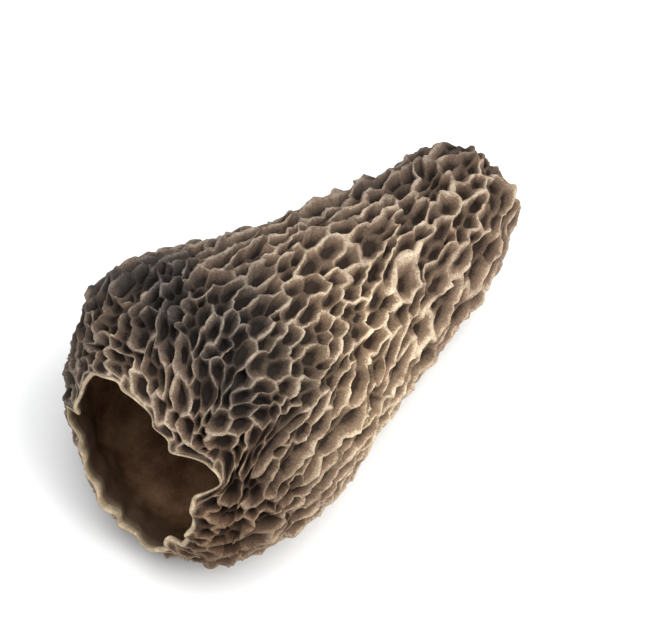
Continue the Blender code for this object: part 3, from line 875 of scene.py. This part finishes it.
def skin_material(grain, torn_edge):
    """The outside. Crests are pale and pits dark: partly the skin's own colour, and partly painted highlight
    on the crests and painted shade in the pits. They sit on three sets of colours that the grey and painted
    shade mask and the pale and painted light mask choose between. Patches, a darker browner tint by the mouth
    and fine crumbs lie over them, with a pale torn edge at the mouth that is partly painted light, and the
    crests are rubbed a little smoother than the pits."""
    material, tree, shader = new_material("morel_skin")
    fine = place_group(tree, grain, Thread_size=SKIN_THREAD, Threads=0.6, Crumbs=0.4)
    blotch = noise(tree, BLOTCH_SIZE, detail=3.0)
    # Where the colours turn grey-black: partly the skin's own colour, partly painted shade
    grey_and_painted_shade = blotched(tree, "grey_and_painted_shade", blotch, GREY_AND_PAINTED_SHADE_BLOTCH)
    # Where the colours turn pale: partly the skin's own colour, partly painted light
    pale_and_painted_light = blotched(tree, "pale_and_painted_light", blotch, PALE_AND_PAINTED_LIGHT_BLOTCH)
    pit = mix_colours(tree, pale_and_painted_light, mix_colours(tree, grey_and_painted_shade, PIT_TAN, PIT_GREY_AND_PAINTED_SHADE), PIT_PALE_AND_PAINTED_LIGHT)
    flank = mix_colours(tree, pale_and_painted_light, mix_colours(tree, grey_and_painted_shade, FLANK_TAN, FLANK_GREY_AND_PAINTED_SHADE), FLANK_PALE_AND_PAINTED_LIGHT)
    top = mix_colours(tree, pale_and_painted_light, mix_colours(tree, grey_and_painted_shade, CREST_TAN, CREST_GREY_AND_PAINTED_SHADE), CREST_PALE_AND_PAINTED_LIGHT)
    wear = remap(tree, fine.outputs["Crumbs"], 0.0, 1.0, -CRUMB_WEAR, CRUMB_WEAR)
    crest_height_with_crumbs = calculate(tree, "ADD", mask(tree, "crest"), wear)
    # Dark pits, partly painted shade, turning into pale crests, partly painted highlight
    colour = mix_colours(tree, remap(tree, crest_height_with_crumbs, *PIT_TO_FLANK), pit, flank)
    colour = mix_colours(tree, remap(tree, crest_height_with_crumbs, *FLANK_TO_CREST), colour, top)
    # Darker and browner on the -Y side near the mouth
    made_browner = mix_colours(tree, 1.0, colour, BROWNER_BY_MOUTH, blend="MULTIPLY")
    colour = mix_colours(tree, mask(tree, "browner_by_mouth"), colour, made_browner)
    # The torn edge's pale colour, partly painted light
    colour = mix_colours(tree, edge_share(tree, torn_edge), colour, LIP_PALE_AND_PAINTED_LIGHT)
    shade = remap(tree, fine.outputs["Crumbs"], 0.0, 1.0, *SKIN_SHADE)
    patch = remap(tree, noise(tree, PATCH_SIZE, detail=2.0), 0.3, 0.7, *PATCH_SHADE)
    shade = calculate(tree, "MULTIPLY", shade, patch)
    colour = mix_colours(tree, 1.0, colour, shade, blend="MULTIPLY")
    tree.links.new(colour, shader.inputs["Base Color"])
    tree.links.new(remap(tree, crest_height_with_crumbs, 0.1, 1.0, *SKIN_ROUGHNESS), shader.inputs["Roughness"])
    add_bump(tree, shader, fine.outputs["Height"], *SKIN_BUMP)
    return material


def hollow_material(grain, torn_edge):
    """The inside: warm brown flesh in soft mottles, with painted shade on the wall just inside the pale torn
    edge.
    """
    material, tree, shader = new_material("morel_hollow")
    fine = place_group(tree, grain, Thread_size=HOLLOW_THREAD, Threads=0.8, Crumbs=0.2)
    mottle = remap(tree, noise(tree, HOLLOW_MOTTLE), 0.35, 0.65)
    colour = mix_colours(tree, mottle, HOLLOW_DEEP, HOLLOW_WARM)
    # Painted shade on the hollow's wall near the mouth
    colour = mix_colours(tree, mask(tree, "rim"), colour, HOLLOW_RIM_PAINTED_SHADE)
    colour = mix_colours(tree, edge_share(tree, torn_edge), colour, LIP_PALE_AND_PAINTED_LIGHT)
    shade = remap(tree, fine.outputs["Crumbs"], 0.0, 1.0, *HOLLOW_SHADE)
    colour = mix_colours(tree, 1.0, colour, shade, blend="MULTIPLY")
    tree.links.new(colour, shader.inputs["Base Color"])
    roughness = remap(tree, fine.outputs["Crumbs"], 0.0, 1.0, *HOLLOW_ROUGHNESS)
    tree.links.new(roughness, shader.inputs["Roughness"])
    add_bump(tree, shader, fine.outputs["Height"], *HOLLOW_BUMP)
    return material


grain = dried_grain_group()
torn_edge = torn_edge_group()
morel.data.materials.append(skin_material(grain, torn_edge))
morel.data.materials.append(hollow_material(grain, torn_edge))


def build_floor():
    """A plain pale floor, far wider than the view."""
    mesh = bpy.data.meshes.new("floor")
    corners = [(x * FLOOR_HALF, y * FLOOR_HALF, 0.0) for x, y in ((-1, -1), (1, -1), (1, 1), (-1, 1))]
    mesh.from_pydata(corners, [], [(0, 1, 2, 3)])
    floor = bpy.data.objects.new("floor", mesh)
    bpy.context.scene.collection.objects.link(floor)
    material, tree, shader = new_material("floor_white")
    shader.inputs["Roughness"].default_value = FLOOR_ROUGHNESS
    tint = mix_colours(tree, noise(tree, FLOOR_MOTTLE, detail=2.0), FLOOR_GREY, FLOOR_WHITE)
    tree.links.new(tint, shader.inputs["Base Color"])
    mesh.materials.append(material)


def aim(thing, place, target):
    """Puts an object at a place, with its -Z axis towards the target and +Y up."""
    thing.location = place
    way = Vector(target) - Vector(place)
    thing.rotation_euler = way.to_track_quat("-Z", "Y").to_euler()


def orbit(azimuth, elevation, distance, target):
    """The place at that distance from the target. From azimuth 0 one looks along +Y."""
    turn, rise = math.radians(azimuth), math.radians(elevation)
    way = Vector((math.sin(turn) * math.cos(rise), -math.cos(turn) * math.cos(rise), math.sin(rise)))
    return Vector(target) + distance * way


def add_area_light(name, azimuth, elevation, distance, size, power, colour):
    """A round soft lamp, aimed at the cap's middle."""
    light = bpy.data.lights.new(name, "AREA")
    light.shape = "DISK"
    light.size = size
    light.energy = power
    light.color = colour
    lamp = bpy.data.objects.new(name, light)
    bpy.context.scene.collection.objects.link(lamp)
    aim(lamp, orbit(azimuth, elevation, distance, CAP_MIDDLE), CAP_MIDDLE)


build_floor()
for lamp in LAMPS:
    add_area_light(*lamp)

world = bpy.data.worlds.new("studio")
world.use_nodes = True
world.node_tree.nodes["Background"].inputs["Color"].default_value = (1.0, 1.0, 1.0, 1.0)
world.node_tree.nodes["Background"].inputs["Strength"].default_value = WORLD_STRENGTH
bpy.context.scene.world = world
bpy.context.scene.view_settings.view_transform = "Standard"

camera = bpy.data.objects.new("camera", bpy.data.cameras.new("camera"))
camera.data.lens = LENS
camera.data.clip_start = 0.01
bpy.context.scene.collection.objects.link(camera)
aim(camera, orbit(CAMERA_AZIMUTH, CAMERA_ELEVATION, CAMERA_DISTANCE, CAMERA_TARGET), CAMERA_TARGET)
bpy.context.scene.camera = camera
